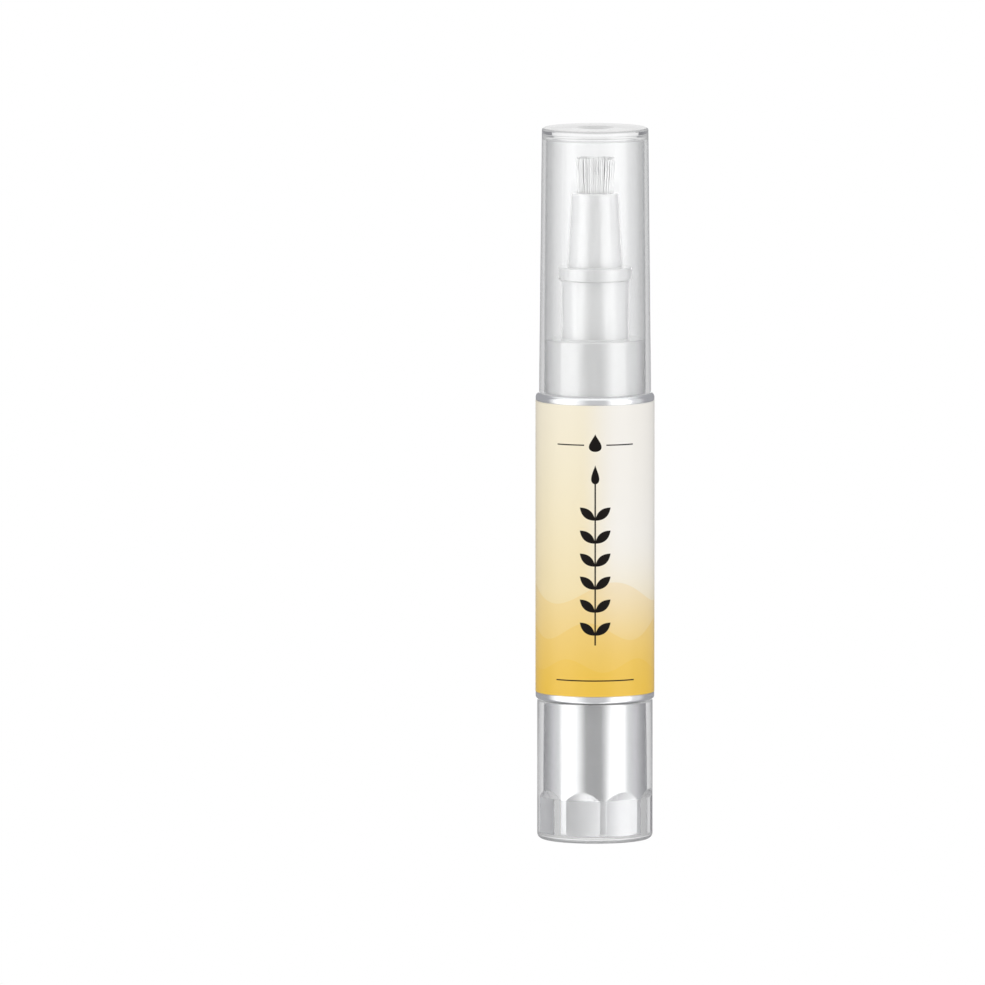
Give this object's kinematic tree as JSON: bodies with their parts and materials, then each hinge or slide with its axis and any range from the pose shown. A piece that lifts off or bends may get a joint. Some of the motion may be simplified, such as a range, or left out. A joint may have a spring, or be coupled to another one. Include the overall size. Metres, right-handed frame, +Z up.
{
  "type": "nail oil pen",
  "caption": "Slim twist-up nail oil pen: clear pull-off cap over a brush tip, labelled barrel with silver rings, and a clear knob that screws a piston up the oil chamber.",
  "frame": {"origin": "centre of the knob's flat foot, which the pen stands on", "axes": "+Z up along the pen's axis towards the cap, -Y towards the front of the label"},
  "size_m": [0.017, 0.017, 0.102],
  "materials": {
    "clear_plastic": "clear polished moulding",
    "bristles": "white nylon filaments",
    "natural_plastic": "natural milky polypropylene",
    "bright_ring": "bright polished silver",
    "sleeve_metal": "satin drawn tube",
    "label_film": "satin printed film, cream to gold",
    "silver_plating": "satin silver plating on plastic",
    "piston_rubber": "soft white elastomer",
    "drive_plastic": "white acetal",
    "spring_steel": "drawn spring wire"
  },
  "bodies": {
    "barrel": {"barrel_sleeve": "sleeve_metal", "label_wrap": "label_film", "front_ring": "bright_ring", "rear_ring": "bright_ring", "reservoir_tube": "natural_plastic", "neck_fitting": "natural_plastic", "nozzle": "natural_plastic", "bristle_tuft": "bristles", "brush_retainer": "natural_plastic", "feed_tube": "natural_plastic", "screw_nut": "drive_plastic", "ratchet_ring": "drive_plastic"},
    "cap": {"cap_shell": "clear_plastic"},
    "knob": {"knob_shell": "clear_plastic", "knob_insert": "silver_plating", "drive_sleeve": "drive_plastic", "click_ring": "drive_plastic", "click_spring": "spring_steel"},
    "piston": {"piston": "piston_rubber"},
    "rod": {"screw_rod": "drive_plastic"}
  },
  "joints": [
    {"name": "cap_pull", "type": "slide", "parent": "barrel", "child": "cap", "axis": [0, 0, 1], "range_m": [0, 0.04]},
    {"name": "knob_twist", "type": "hinge", "parent": "barrel", "child": "knob", "pos_m": [0, 0, 0.0224], "axis": [0, 0, 1], "range_deg": [0, 6600]},
    {"name": "piston_slide", "type": "slide", "parent": "barrel", "child": "piston", "axis": [0, 0, 1], "range_m": [0, 0.022]},
    {"name": "rod_spin", "type": "hinge", "parent": "piston", "child": "rod", "pos_m": [0, 0, 0.035], "axis": [0, 0, 1], "range_deg": [0, 6600]}
  ],
  "couplings": [
    {"joint": "piston_slide", "follows": "knob_twist", "m_per_rad": 0.00019099},
    {"joint": "rod_spin", "follows": "knob_twist", "ratio": 1}
  ]
}
